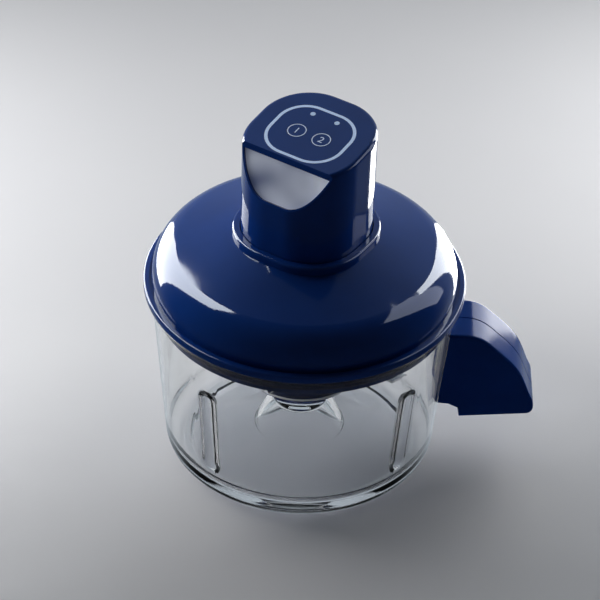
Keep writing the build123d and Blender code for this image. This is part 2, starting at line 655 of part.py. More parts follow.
def make_guides():
    with BuildPart() as guide_sleeve:
        with BuildSketch(HEAD.offset(SLEEVE_LOW)):
            squared(SLEEVE_OUT_HALF)
        extrude(amount=LEDGE_Z - SLEEVE_LOW)
        fillet(guide_sleeve.faces().sort_by(Axis.Z)[0].edges(), radius=SLEEVE_EDGE)
        with BuildSketch(HEAD.offset(LINER_Z)):
            squared(SLEEVE_OUT_HALF + SLEEVE_FLANGE)
        extrude(amount=LINER_THICK)
        with BuildSketch(HEAD.offset(SLEEVE_FLOOR_TOP)):
            squared(SLEEVE_IN_HALF)
        extrude(amount=LEDGE_Z - SLEEVE_FLOOR_TOP, mode=Mode.SUBTRACT)
        with BuildSketch(HEAD.offset(BUSH_LOW)):
            squared(BUSH_OUT_HALF + SEAT_GAP)
        extrude(amount=BUSH_LENGTH, mode=Mode.SUBTRACT)
        with BuildSketch(HEAD.offset(SLEEVE_LOW)):
            Circle(SHAFT_BUSH_R + SEAT_GAP)
        extrude(amount=SLEEVE_FLOOR, mode=Mode.SUBTRACT)
    keep(guide_sleeve, "guide_sleeve")

    with BuildPart() as guide_bush:
        with BuildSketch(HEAD.offset(BUSH_LOW)):
            squared(BUSH_OUT_HALF)
            squared(BUSH_IN_HALF, mode=Mode.SUBTRACT)
        extrude(amount=BUSH_LENGTH)
    keep(guide_bush, "guide_bush")

    with BuildPart() as shaft_bushing:
        with BuildSketch(Plane.XZ):
            half_section([
                (SHAFT_R + RUN_GAP, SLEEVE_LOW + SEAL_HEIGHT, 0),
                (SEAL_R + SEAT_GAP, SLEEVE_LOW + SEAL_HEIGHT, 0),
                (SEAL_R + SEAT_GAP, SLEEVE_LOW, 0),
                (SHAFT_BUSH_R, SLEEVE_LOW, 0),
                (SHAFT_BUSH_R, SLEEVE_FLOOR_TOP, 0),
                (SHAFT_BUSH_FLANGE_R, SLEEVE_FLOOR_TOP, 0),
                (SHAFT_BUSH_FLANGE_R, SLEEVE_FLOOR_TOP + SHAFT_BUSH_FLANGE, 0),
                (SHAFT_R + RUN_GAP, SLEEVE_FLOOR_TOP + SHAFT_BUSH_FLANGE, 0),
            ])
        revolve(axis=Axis.Z)
    keep(shaft_bushing, "shaft_bushing")

    with BuildPart() as shaft_seal:
        with BuildSketch(Plane.XY.offset(SLEEVE_LOW)):
            Circle(SEAL_R)
            Circle(SHAFT_R + RUN_GAP, mode=Mode.SUBTRACT)
        extrude(amount=SEAL_HEIGHT)
    keep(shaft_seal, "shaft_seal")

    coil_low = SLEEVE_FLOOR_TOP + SPRING_WIRE_R
    coil_height = POCKET_TOP - SPRING_WIRE_R - coil_low
    with BuildPart() as return_spring:
        with BuildLine():
            Helix(pitch=coil_height / SPRING_TURNS, height=coil_height, radius=SPRING_R,
                  center=(0, 0, coil_low))
        with BuildSketch(Plane(Location((SPRING_R, 0, coil_low), (90, 0, 0)))):
            Circle(SPRING_WIRE_R)
        sweep()
    keep(return_spring, "return_spring")


# ------------------------------------------------------------ sliding head
def head_block(half_x, half_y, inset):
    """Squared column up to the panel's face, its front cut back to the lip and the scoop."""
    front = 2 * HEAD_HALF
    run = front + LIP_Y
    with BuildPart() as block:
        with BuildSketch(HEAD.offset(STEM_LOW)):
            RectangleRounded(2 * half_x, 2 * half_y, HEAD_CORNER + half_x - HEAD_HALF)
        extrude(amount=ABOVE - STEM_LOW)
        split(bisect_by=PANEL, keep=Keep.BOTTOM)
        with BuildSketch(HEAD_SIDE):
            Polygon(
                (LIP_Y + inset, ABOVE),
                (LIP_Y + inset, LIP_Z),
                (inset - front, LIP_Z - run * math.tan(math.radians(SCOOP_LEAN))),
                (inset - front, ABOVE),
                align=None,
            )
        extrude(amount=HEAD_HALF, both=True, mode=Mode.SUBTRACT)
    return block.part


def scoop_recess(rim, top, bottom):
    """Plate parallel to the scoop, inside a rim, between two depths under its face."""
    lower_rim = rim * math.cos(math.radians(SCOOP_LEAN))
    facet = head_block(HEAD_HALF - rim, HEAD_HALF - lower_rim, 0).faces().filter_by(SCOOP)[0]
    with BuildPart() as recess:
        with BuildSketch(SCOOP.offset(-bottom)):
            add(SCOOP.to_local_coords(facet))
            with Locations((0, HEAD_HALF - rim)):
                Rectangle(2 * HEAD_HALF, 2 * HEAD_HALF, mode=Mode.SUBTRACT)
        extrude(amount=bottom - top)
    return recess.part


def make_stem_housing(recess):
    with BuildPart() as stem_housing:
        add(head_block(HEAD_HALF, HEAD_HALF, 0))
        wall = (SCOOP_DEPTH + SCOOP_WALL) / math.sin(math.radians(SCOOP_LEAN))
        add(head_block(HOUSING_IN_HALF, HOUSING_IN_HALF, wall), mode=Mode.SUBTRACT)
        split(bisect_by=CAP_SEAT, keep=Keep.BOTTOM)
        add(recess, mode=Mode.SUBTRACT)
        with BuildSketch(HEAD.offset(STEM_LOW)):
            with PolarLocations(COVER_SCREW_RING, COVER_SCREW_COUNT):
                Circle(COVER_BOSS_R)
            with PolarLocations((COVER_SCREW_RING + HEAD_HALF) / 2, COVER_SCREW_COUNT):
                Rectangle(HEAD_HALF - COVER_SCREW_RING - HEAD_WALL / 2, COVER_BOSS_R)
        extrude(amount=COVER_BOSS_HEIGHT)
        with BuildSketch(HEAD.offset(STEM_LOW)):
            with PolarLocations(COVER_SCREW_RING, COVER_SCREW_COUNT):
                Circle(SMALL_SCREW_R + SEAT_GAP)
        extrude(amount=COVER_SCREW_GRIP, mode=Mode.SUBTRACT)
    keep(stem_housing, "stem_housing")


def cap_spigot():
    """Ring under the cap that centres it in the stem, open at the front."""
    half = HOUSING_IN_HALF - SEAT_GAP
    with BuildPart() as spigot:
        with BuildSketch(HEAD.offset(STEM_LOW)):
            squared(half)
            squared(half - SPIGOT_WALL, mode=Mode.SUBTRACT)
            with Locations((0, -SPIGOT_FRONT - HEAD_HALF)):
                Rectangle(2 * HEAD_HALF, 2 * HEAD_HALF, mode=Mode.SUBTRACT)
        extrude(amount=ABOVE - STEM_LOW)
        split(bisect_by=CAP_SEAT, keep=Keep.BOTTOM)
        split(bisect_by=CAP_SEAT.offset(-SPIGOT_DEPTH), keep=Keep.TOP)
    return spigot.part


def make_head_cap(recess):
    with BuildPart() as head_cap:
        add(head_block(HEAD_HALF, HEAD_HALF, 0))
        split(bisect_by=CAP_SEAT, keep=Keep.TOP)
        rim = head_cap.faces().sort_by(Axis(PANEL.origin, PANEL.z_dir))[-1].edges()
        lip = rim.sort_by(Axis(HEAD.origin, HEAD.y_dir))[0]
        fillet(rim - [lip], radius=CAP_EDGE)
        add(recess, mode=Mode.SUBTRACT)
        add(cap_spigot())
        with BuildSketch(BOARD):
            with GridLocations(2 * BOARD_POST_X, 2 * BOARD_POST_Y, 2, 2):
                with Locations((0, BOARD_Y)):
                    Circle(BOARD_POST_R)
        extrude(amount=BOARD_TOP - CAP_THICK)
        with BuildSketch(BOARD):
            with GridLocations(2 * BOARD_POST_X, 2 * BOARD_POST_Y, 2, 2):
                with Locations((0, BOARD_Y)):
                    Circle(BOARD_SCREW_R + SEAT_GAP)
        extrude(amount=BOARD_GRIP, mode=Mode.SUBTRACT)
        with BuildSketch(PANEL):
            ring_outline(-RING_WIDTH / 2 - SEAT_GAP)
        extrude(amount=-PANEL_THICK, mode=Mode.SUBTRACT)
        with BuildSketch(PANEL):
            ring_outline(WINDOW_INSET)
        extrude(amount=-CAP_THICK, mode=Mode.SUBTRACT)
    keep(head_cap, "head_cap")


def make_panel():
    with BuildPart() as light_ring:
        with BuildSketch(PANEL):
            ring_outline(-RING_WIDTH / 2)
            ring_outline(RING_WIDTH / 2, mode=Mode.SUBTRACT)
        extrude(amount=-PANEL_THICK)
    keep(light_ring, "light_ring")

    with BuildPart() as control_panel:
        with BuildSketch(PANEL):
            ring_outline(RING_WIDTH / 2 + SEAT_GAP)
            with Locations((-KEY_X, KEY_Y), (KEY_X, KEY_Y)):
                Circle(KEY_R + KEY_GAP, mode=Mode.SUBTRACT)
            with Locations((-LENS_X, LENS_Y), (LENS_X, LENS_Y)):
                Circle(LENS_R + SEAT_GAP, mode=Mode.SUBTRACT)
        extrude(amount=-PANEL_THICK)
    keep(control_panel, "control_panel")

    for name, side in (("left", -1), ("right", 1)):
        with BuildPart() as led_lens:
            with BuildSketch(PANEL):
                with Locations((side * LENS_X, LENS_Y)):
                    Circle(LENS_R)
            extrude(amount=REST_GAP + LED_HEIGHT - BOARD_TOP)
        keep(led_lens, f"led_lens_{name}")

        with BuildPart() as switch:
            with BuildSketch(BOARD):
                with Locations((side * KEY_X, KEY_Y)):
                    Rectangle(SWITCH_SIZE, SWITCH_SIZE)
            extrude(amount=SWITCH_BODY)
            with BuildSketch(BOARD):
                with Locations((side * KEY_X, KEY_Y)):
                    Circle(SWITCH_NUB_R)
            extrude(amount=BOARD_TOP - KEY_STEM_LOW - KEY_TRAVEL - REST_GAP)
        keep(switch, f"switch_{name}")

    for name, side in (("key_1", -1), ("key_2", 1)):
        with BuildPart() as key:
            for depth, radius in (
                (PANEL_THICK + REST_GAP + KEY_FLANGE, KEY_R),
                (KEY_STEM_LOW, KEY_STEM_R),
            ):
                with BuildSketch(PANEL):
                    with Locations((side * KEY_X, KEY_Y)):
                        Circle(radius)
                extrude(amount=-depth)
            with BuildSketch(PANEL.offset(-PANEL_THICK - REST_GAP)):
                with Locations((side * KEY_X, KEY_Y)):
                    Circle(KEY_FLANGE_R)
            extrude(amount=-KEY_FLANGE)
        keep(key, name)


def make_board():
    with BuildPart() as control_board:
        with BuildSketch(BOARD):
            with Locations((0, BOARD_Y)):
                RectangleRounded(2 * BOARD_HALF_X, 2 * BOARD_HALF_Y, BOARD_CORNER)
                with GridLocations(2 * BOARD_POST_X, 2 * BOARD_POST_Y, 2, 2):
                    Circle(BOARD_SCREW_R + SEAT_GAP, mode=Mode.SUBTRACT)
        extrude(amount=-BOARD_THICK)
    keep(control_board, "control_board")

    with BuildPart() as board_leds:
        with BuildSketch(BOARD):
            with Locations((-LENS_X, LENS_Y), (LENS_X, LENS_Y)):
                Rectangle(LED_SIZE, LED_SIZE)
        extrude(amount=LED_HEIGHT)
    keep(board_leds, "board_leds")

    with BuildPart() as board_screws:
        for x in (-BOARD_POST_X, BOARD_POST_X):
            for y in (BOARD_Y - BOARD_POST_Y, BOARD_Y + BOARD_POST_Y):
                seat = Plane(BOARD.location * Location((x, y, -BOARD_THICK)))
                add(screw(seat, BOARD_THICK + BOARD_GRIP - REST_GAP, BOARD_SCREW_R, BOARD_HEAD_R,
                          BOARD_HEAD))
    keep(board_screws, "board_screws")


def make_power():
    cell_spots = {"left": (-CELL_X, CELL_X), "right": (CELL_X, CELL_X)}
    for name, spot in cell_spots.items():
        with BuildPart() as battery_cell:
            with BuildSketch(HEAD.offset(CELL_LOW)):
                with Locations(spot):
                    Circle(CELL_R)
            extrude(amount=CELL_HEIGHT - CELL_NUB)
            fillet(battery_cell.edges(), radius=CAN_EDGE)
            with BuildSketch(HEAD.offset(CELL_TOP - CELL_NUB)):
                with Locations(spot):
                    Circle(CELL_NUB_R)
            extrude(amount=CELL_NUB)
        keep(battery_cell, f"battery_cell_{name}")

    with BuildPart() as cell_holder:
        for low in (HOLDER_LOW, CELL_TOP):
            with BuildSketch(HEAD.offset(low)):
                squared(HOUSING_IN_HALF - HOLDER_GAP)
                with Locations((0, -HEAD_HALF)):
                    Rectangle(2 * HEAD_HALF, 2 * HEAD_HALF, mode=Mode.SUBTRACT)
                Circle(GEARBOX_R + HOLDER_GAP, mode=Mode.SUBTRACT)
            extrude(amount=HOLDER_PLATE)
        web_inner, web_outer = GEARBOX_R + 2 * HOLDER_GAP, HOUSING_IN_HALF - 2 * HOLDER_GAP
        with BuildSketch(HEAD.offset(HOLDER_LOW)):
            with Locations((0, (web_inner + web_outer) / 2)):
                Rectangle(HOLDER_WEB, web_outer - web_inner)
        extrude(amount=CELL_TOP - HOLDER_LOW)
    keep(cell_holder, "cell_holder")

    with BuildPart() as gearbox:
        with BuildSketch(HEAD.offset(BEARING_TOP)):
            Circle(GEARBOX_R)
        extrude(amount=GEARBOX_HEIGHT)
        fillet(gearbox.edges().sort_by(Axis.Z)[-1], radius=CAN_EDGE)
        with BuildSketch(HEAD.offset(BEARING_TOP)):
            Circle(JOURNAL_R + RUN_GAP)
        extrude(amount=JOURNAL_LENGTH + REST_GAP, mode=Mode.SUBTRACT)
        with BuildSketch(HEAD.offset(BEARING_TOP)):
            with Locations((-GEARBOX_SCREW_X, 0), (GEARBOX_SCREW_X, 0)):
                Circle(SMALL_SCREW_R + SEAT_GAP)
        extrude(amount=SCREW_GRIP, mode=Mode.SUBTRACT)
    keep(gearbox, "gearbox")

    with BuildPart() as gearbox_screws:
        shank = BEARING_TOP - COVER_LOW - SMALL_HEAD + SCREW_GRIP - REST_GAP
        for x in (-GEARBOX_SCREW_X, GEARBOX_SCREW_X):
            seat = Plane(HEAD.location * Location((x, 0, COVER_LOW + SMALL_HEAD)))
            add(screw(seat, shank, SMALL_SCREW_R, SMALL_HEAD_R, SMALL_HEAD))
    keep(gearbox_screws, "gearbox_screws")

    with BuildPart() as motor:
        with BuildSketch(HEAD.offset(GEARBOX_TOP)):
            Circle(MOTOR_R)
            Rectangle(2 * MOTOR_R, 2 * MOTOR_FLAT, mode=Mode.INTERSECT)
        extrude(amount=MOTOR_HEIGHT)
        fillet(motor.faces().sort_by(Axis.Z)[-1].edges(), radius=CAN_EDGE)
        with BuildSketch(HEAD.offset(MOTOR_TOP)):
            Circle(MOTOR_TAIL_R)
        extrude(amount=MOTOR_TAIL)
    keep(motor, "motor")


def make_bottom_cover():
    bearing_seat = BEARING_R + SEAT_GAP
    gearbox_seat = GEARBOX_R + SEAT_GAP
    shaft_hole = SHAFT_R + SHAFT_HOLE_GAP
    pocket_roof = POCKET_TOP + POCKET_WALL
    with BuildPart() as bottom_cover:
        with BuildSketch(HEAD.offset(COVER_LOW)):
            squared(CUP_OUT_HALF)
            Circle(POCKET_OUT_R + POCKET_WALL / 2, mode=Mode.SUBTRACT)
        extrude(amount=CUP_FLOOR)
        with BuildSketch(HEAD.offset(STEM_LOW)):
            squared(CUP_OUT_HALF)
            squared(CUP_IN_HALF, mode=Mode.SUBTRACT)
        extrude(amount=CUP_RIM)
        with BuildSketch(Plane.XZ):
            half_section([
                (shaft_hole, COVER_LOW, 0),
                (POCKET_IN_R, COVER_LOW, 0),
                (POCKET_IN_R, POCKET_TOP, 0),
                (POCKET_OUT_R, POCKET_TOP, 0),
                (POCKET_OUT_R, COVER_LOW, 0),
                (POCKET_OUT_R + POCKET_WALL, COVER_LOW, 0),
                (POCKET_OUT_R + POCKET_WALL, pocket_roof, 0),
                (gearbox_seat, pocket_roof, 0),
                (gearbox_seat, BEARING_TOP, 0),
                (bearing_seat, BEARING_TOP, 0),
                (bearing_seat, STEM_LOW, 0),
                (shaft_hole, STEM_LOW, 0),
            ])
        revolve(axis=Axis.Z)
        with BuildSketch(HEAD.offset(COVER_LOW)):
            with PolarLocations(COVER_SCREW_RING, COVER_SCREW_COUNT):
                Circle(SMALL_SCREW_R + SEAT_GAP)
            with Locations((-GEARBOX_SCREW_X, 0), (GEARBOX_SCREW_X, 0)):
                Circle(SMALL_SCREW_R + SEAT_GAP)
        extrude(amount=BEARING_TOP - COVER_LOW, mode=Mode.SUBTRACT)
        with BuildSketch(HEAD.offset(COVER_LOW)):
            with PolarLocations(COVER_SCREW_RING, COVER_SCREW_COUNT):
                Circle(SMALL_HEAD_R + SEAT_GAP)
            with Locations((-GEARBOX_SCREW_X, 0), (GEARBOX_SCREW_X, 0)):
                Circle(SMALL_HEAD_R + SEAT_GAP)
        extrude(amount=SMALL_HEAD, mode=Mode.SUBTRACT)
    keep(bottom_cover, "bottom_cover")

    with BuildPart() as bottom_cover_screws:
        shank = CUP_FLOOR - SMALL_HEAD + COVER_SCREW_GRIP - REST_GAP
        for k in range(COVER_SCREW_COUNT):
            angle = math.radians(360 / COVER_SCREW_COUNT * k)
            spot = (COVER_SCREW_RING * math.cos(angle), COVER_SCREW_RING * math.sin(angle))
            seat = Plane(HEAD.location * Location((*spot, COVER_LOW + SMALL_HEAD)))
            add(screw(seat, shank, SMALL_SCREW_R, SMALL_HEAD_R, SMALL_HEAD))
    keep(bottom_cover_screws, "bottom_cover_screws")

    with BuildPart() as shaft_bearing:
        with BuildSketch(HEAD.offset(STEM_LOW)):
            Circle(BEARING_R)
            Circle(SHAFT_R + RUN_GAP, mode=Mode.SUBTRACT)
        extrude(amount=BEARING_HEIGHT)
        with BuildSketch(HEAD.offset(BEARING_TOP)):
            Circle(BEARING_R - BEARING_RACE)
            Circle(SHAFT_R + BEARING_RACE, mode=Mode.SUBTRACT)
        extrude(amount=-BEARING_RACE / 2, mode=Mode.SUBTRACT)
    keep(shaft_bearing, "shaft_bearing")


def make_grip_inlay():
    with BuildPart() as grip_inlay:
        add(scoop_recess(SCOOP_RIM + SEAT_GAP, SCOOP_DEPTH - INLAY_THICK, SCOOP_DEPTH))
    keep(grip_inlay, "grip_inlay")


# ------------------------------------------------------------ drive
def make_spindle():
    with BuildPart() as drive_shaft:
        tip = parked(CUP_Z + NOSE_GAP)
        shoulder = BEARING_TOP - REST_GAP
        with BuildSketch(Plane.XZ):
            half_section([
                (0, tip, 0),
                (NOSE_R, tip, NOSE_EDGE),
                (NOSE_R, parked(HUB_ROOF_Z), 0),
                (SHAFT_R, parked(HUB_ROOF_Z), 0),
                (SHAFT_R, shoulder, 0),
                (JOURNAL_R, shoulder, 0),
                (JOURNAL_R, BEARING_TOP + JOURNAL_LENGTH, 0),
                (0, BEARING_TOP + JOURNAL_LENGTH, 0),
            ])
        revolve(axis=Axis.Z)
    keep(drive_shaft, "drive_shaft")

    with BuildPart() as blade_hub:
        bore = SHAFT_R + SEAT_GAP
        with BuildSketch(Plane.XZ):
            half_section([
                (bell_inner(HUB_LOW), parked(HUB_LOW), 0),
                (HUB_FLANGE_R, parked(HUB_LOW), 0),
                (HUB_FLANGE_R, parked(LOWER_Z), 0),
                (bell_outer(LOWER_Z), parked(LOWER_Z), 0),
                (bell_outer(HUB_TOP), parked(HUB_TOP), 0),
                (bore, parked(HUB_TOP), 0),
                (bore, parked(HUB_ROOF_Z), 0),
                (bell_inner(HUB_ROOF_Z), parked(HUB_ROOF_Z), BOSS_EDGE),
            ])
        revolve(axis=Axis.Z)
    keep(blade_hub, "blade_hub")

    with BuildPart() as blade_spacer:
        inner_low, inner_high = bell_outer(SPACER_Z) + SEAT_GAP, bell_outer(UPPER_Z) + SEAT_GAP
        with BuildSketch(Plane.XZ):
            half_section([
                (inner_low, parked(SPACER_Z), 0),
                (inner_low + SPACER_WALL, parked(SPACER_Z), 0),
                (inner_high + SPACER_WALL, parked(UPPER_Z), 0),
                (inner_high, parked(UPPER_Z), 0),
            ])
        revolve(axis=Axis.Z)
    keep(blade_spacer, "blade_spacer")

    with BuildPart() as hub_cap:
        with BuildSketch(Plane.XZ):
            half_section([
                (bell_outer(HUB_CAP_Z) + SEAT_GAP, parked(HUB_CAP_Z), 0),
                (bell_outer(HUB_CAP_Z) + HUB_CAP_WALL, parked(HUB_CAP_Z), 0),
                (bell_outer(HUB_TOP) + HUB_CAP_WALL, parked(HUB_TOP + HUB_CAP_ROOF), BOSS_EDGE),
                (bore, parked(HUB_TOP + HUB_CAP_ROOF), 0),
                (bore, parked(HUB_TOP), 0),
                (bell_outer(HUB_TOP) + SEAT_GAP, parked(HUB_TOP), 0),
            ])
        revolve(axis=Axis.Z)
    keep(hub_cap, "hub_cap")


def blade_arm(root_r, tip_r, pitch):
    """One arm along +X with a hooked tip and a bevelled leading edge, drawn flat at z = 0."""
    with BuildPart() as arm:
        with BuildSketch():
            with BuildLine():
                ThreePointArc((root_r, BLADE_ROOT), ((root_r + tip_r) / 2, BLADE_TIP),
                              (tip_r, -BLADE_TIP))
                Line((tip_r, -BLADE_TIP), (tip_r - BLADE_ROOT, -BLADE_ROOT - BLADE_TIP))
                ThreePointArc((tip_r - BLADE_ROOT, -BLADE_ROOT - BLADE_TIP),
                              ((root_r + tip_r) / 2, -BLADE_ROOT), (root_r, -BLADE_ROOT))
                Line((root_r, -BLADE_ROOT), (root_r, BLADE_ROOT))
            make_face()
        extrude(amount=BLADE_THICK)
        upper_face = arm.faces().sort_by(Axis.Z)[-1]
        chamfer(upper_face.edges().sort_by(Axis.Y)[-1], length=BLADE_BEVEL, length2=BLADE_THICK / 2,
                reference=upper_face)
    return arm.part.rotate(Axis((root_r, 0, 0), (0, 1, 0)), pitch)


def make_blade(name, low, ring_r, tip_r, pitch, turn):
    hole = bell_outer(low) + SEAT_GAP
    arm = blade_arm(ring_r - BLADE_THICK / 2, tip_r, pitch)
    with BuildPart() as blade:
        with BuildSketch(Plane.XY):
            Circle(ring_r)
        extrude(amount=BLADE_THICK)
        with PolarLocations(0, 2):
            add(arm)
        with BuildSketch(Plane.XY):
            Circle(hole)
        extrude(amount=BLADE_THICK, both=True, mode=Mode.SUBTRACT)
    placed = Location((0, 0, parked(low)), (0, 0, turn)) * blade.part
    placed.label = name
    export_step(placed, f"parts/{name}.step")


make_glass_bowl()
make_handle()
make_lid_cover()
make_lid_liner()
make_guides()
scoop_pocket = scoop_recess(SCOOP_RIM, 0, SCOOP_DEPTH)
make_stem_housing(scoop_pocket)
make_head_cap(scoop_pocket)
make_grip_inlay()
make_panel()
make_board()
make_power()
make_bottom_cover()
make_spindle()
make_blade("lower_blade", LOWER_Z, LOWER_RING_R, LOWER_TIP_R, LOWER_PITCH, 0)
make_blade("upper_blade", UPPER_Z, UPPER_RING_R, UPPER_TIP_R, UPPER_PITCH, UPPER_TURN)
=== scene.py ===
"""Looks for the plunger food chopper: materials, printed marks, floor, light and camera.

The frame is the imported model's: +Z up, +X towards the handle. The head, with its panel and
keys, is turned about Z by HEAD_TURN. Lengths are in metres, and those of the bowl in
millimetres until its mesh is made. Turns are in degrees.
"""

import json
import math

import bmesh
import bpy
from mathutils import Matrix, Vector


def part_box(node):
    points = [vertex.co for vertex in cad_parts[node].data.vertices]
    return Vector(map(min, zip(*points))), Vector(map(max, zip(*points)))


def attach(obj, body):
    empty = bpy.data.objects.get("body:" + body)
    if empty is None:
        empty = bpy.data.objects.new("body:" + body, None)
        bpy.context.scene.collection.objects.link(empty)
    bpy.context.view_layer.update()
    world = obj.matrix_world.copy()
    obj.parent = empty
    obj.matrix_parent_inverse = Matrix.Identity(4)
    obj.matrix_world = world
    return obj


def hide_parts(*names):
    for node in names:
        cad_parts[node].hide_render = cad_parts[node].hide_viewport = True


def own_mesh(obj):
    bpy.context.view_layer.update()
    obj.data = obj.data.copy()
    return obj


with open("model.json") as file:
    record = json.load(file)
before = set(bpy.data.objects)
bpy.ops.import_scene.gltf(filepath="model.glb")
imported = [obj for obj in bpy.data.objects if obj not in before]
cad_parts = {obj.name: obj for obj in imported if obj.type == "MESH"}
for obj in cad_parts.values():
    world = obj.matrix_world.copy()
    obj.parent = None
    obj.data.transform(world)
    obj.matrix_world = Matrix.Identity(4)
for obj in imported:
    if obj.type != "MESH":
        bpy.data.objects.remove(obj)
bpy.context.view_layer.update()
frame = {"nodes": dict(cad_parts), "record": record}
solids = frame["nodes"]

MM = 0.001
HEAD_TURN = -31.8
HEAD_TOP = 177.8 * MM
PANEL_TILT = 7.5


# ---------------------------------------------------------------- materials
NOISE_SPAN = (0.3, 0.7)         # where nearly all values of a noise texture lie


class Shader:
    """A Principled material and short ways to feed its inputs from procedural textures."""

    def __init__(self, name, color, roughness, metallic=0.0, **inputs):
        self.material = bpy.data.materials.new(name)
        self.material.use_nodes = True
        self.nodes = self.material.node_tree.nodes
        self.links = self.material.node_tree.links
        self.bsdf = self.nodes["Principled BSDF"]
        self.bsdf.inputs["Base Color"].default_value = (*color, 1)
        self.bsdf.inputs["Roughness"].default_value = roughness
        self.bsdf.inputs["Metallic"].default_value = metallic
        for key, value in inputs.items():
            self.bsdf.inputs[key.replace("_", " ")].default_value = value
        self.place = self.nodes.new("ShaderNodeTexCoord").outputs["Object"]

    def mapped(self, key, value):
        """The place with one input of a Mapping node set, such as its Scale or Rotation."""
        mapping = self.nodes.new("ShaderNodeMapping")
        mapping.inputs[key].default_value = value
        self.links.new(self.place, mapping.inputs["Vector"])
        return mapping.outputs["Vector"]

    def noise(self, scale, detail=4.0, rough=0.55, vector=None):
        node = self.nodes.new("ShaderNodeTexNoise")
        node.inputs["Scale"].default_value = scale
        node.inputs["Detail"].default_value = detail
        node.inputs["Roughness"].default_value = rough
        self.links.new(vector or self.place, node.inputs["Vector"])
        return node.outputs["Fac"]

    def spread(self, value, low, high, to_low, to_high):
        node = self.nodes.new("ShaderNodeMapRange")
        limits = {"From Min": low, "From Max": high, "To Min": to_low, "To Max": to_high}
        for key, number in limits.items():
            node.inputs[key].default_value = number
        self.links.new(value, node.inputs["Value"])
        return node.outputs["Result"]

    def two_tone(self, value, first, second, span=NOISE_SPAN):
        ramp = self.nodes.new("ShaderNodeValToRGB")
        for stop, position, color in zip(ramp.color_ramp.elements, span, (first, second)):
            stop.position = position
            stop.color = (*color, 1)
        self.links.new(value, ramp.inputs["Fac"])
        self.links.new(ramp.outputs["Color"], self.bsdf.inputs["Base Color"])
        return ramp.outputs["Color"]

    def worn(self, value, low, high):
        """Roughness that varies between two values."""
        self.links.new(self.spread(value, *NOISE_SPAN, low, high), self.bsdf.inputs["Roughness"])

    def bump(self, value, strength, distance):
        node = self.nodes.new("ShaderNodeBump")
        node.inputs["Strength"].default_value = strength
        node.inputs["Distance"].default_value = distance
        self.links.new(value, node.inputs["Height"])
        self.links.new(node.outputs["Normal"], self.bsdf.inputs["Normal"])


def gloss_plastic(name, dark, light, roughness, ior=1.45):
    """Glossy moulding: slight cloudiness in the colour, fine wipe marks, a faint orange peel."""
    s = Shader(name, dark, roughness, IOR=ior, Specular_Tint=(0.85, 0.93, 1.0, 1))
    s.two_tone(s.noise(35, detail=3), dark, light)
    wipes = s.noise(420, detail=6, rough=0.7, vector=s.mapped("Scale", (1, 1, 0.35)))
    s.worn(wipes, roughness * 0.75, roughness * 1.5)
    s.bump(s.noise(260, detail=2), strength=0.03, distance=0.08 * MM)
    return s.material


def satin_plastic(name, dark, light, roughness, ior=1.48):
    """Spark-eroded moulding: fine even grain."""
    s = Shader(name, dark, roughness, IOR=ior)
    s.two_tone(s.noise(80), dark, light)
    s.worn(s.noise(600), roughness * 0.85, roughness * 1.15)
    s.bump(s.noise(1500, detail=5, rough=0.65), strength=0.35, distance=0.04 * MM)
    return s.material


def drawn_metal(name, dark, light, roughness, stretch, scale=500):
    """Metal with fine lines along the axis with the smallest stretch; plain grain without one."""
    s = Shader(name, dark, roughness, metallic=1.0)
    lines = s.noise(scale, detail=5, rough=0.7, vector=s.mapped("Scale", stretch))
    s.two_tone(lines, dark, light)
    s.worn(lines, roughness * 0.7, roughness * 1.4)
    s.bump(lines, strength=0.25, distance=0.03 * MM)
    return s.material


def clear_glass(name):
    """Clear pressed glass. In shadows, each of its surfaces takes about a quarter of the light."""
    s = Shader(name, (0.98, 0.985, 0.985), 0.0, IOR=1.5, Transmission_Weight=1.0,
               Specular_Tint=(0.3, 0.3, 0.3, 1))
    s.two_tone(s.noise(18, detail=2), (0.97, 0.98, 0.98), (0.985, 0.99, 0.99))
    s.worn(s.noise(300, detail=5, rough=0.7), 0.0, 0.004)
    s.bump(s.noise(22, detail=1), strength=0.02, distance=0.1 * MM)
    shade = s.nodes.new("ShaderNodeBsdfTransparent")
    shade.inputs["Color"].default_value = (0.74, 0.75, 0.77, 1)
    either = s.nodes.new("ShaderNodeMixShader")
    s.links.new(s.nodes.new("ShaderNodeLightPath").outputs["Is Shadow Ray"], either.inputs[0])
    s.links.new(s.bsdf.outputs["BSDF"], either.inputs[1])
    s.links.new(shade.outputs["BSDF"], either.inputs[2])
    s.links.new(either.outputs["Shader"], s.nodes["Material Output"].inputs["Surface"])
    return s.material


def inlay_with_painted_highlight(name):
    """Slate grey metallised inlay, softly cloudy; a painted highlight makes it paler towards its
    right end, and a faint glow paints the light it catches.
    """
    left, right = -24 * MM, 20 * MM         # ends of the painted highlight, along the turned head's own X
    s = Shader(name, (0.4, 0.45, 0.6), 0.35, metallic=0.15, IOR=1.45, Emission_Strength=0.2)
    split = s.nodes.new("ShaderNodeSeparateXYZ")
    s.links.new(s.mapped("Rotation", (0, 0, math.radians(-HEAD_TURN))), split.inputs["Vector"])
    blend = s.nodes.new("ShaderNodeMath")
    blend.operation = "ADD"
    # painted highlight: the colour grows paler from the left end to the right end
    s.links.new(s.spread(split.outputs["X"], left, right, -0.22, 0.26), blend.inputs[0])
    s.links.new(s.noise(45, detail=1, rough=0.4), blend.inputs[1])
    clouds_and_painted_highlight = s.two_tone(blend.outputs["Value"], (0.11, 0.14, 0.27), (0.8, 0.86, 1.0), (0.3, 0.78))
    # painted light: the inlay glows in its cloud and highlight colours
    s.links.new(clouds_and_painted_highlight, s.bsdf.inputs["Emission Color"])
    s.worn(s.noise(60, detail=1), 0.28, 0.4)
    s.bump(s.noise(1800), strength=0.12, distance=0.03 * MM)
    return s.material


def printed(name, color, glow):
    """Pale print or light guide with a little mottling; it glows faintly."""
    s = Shader(name, color, 0.25, Emission_Strength=glow)
    s.bsdf.inputs["Emission Color"].default_value = (*color, 1)
    s.two_tone(s.noise(700), tuple(0.93 * c for c in color), color)
    s.worn(s.noise(900), 0.2, 0.32)
    return s.material


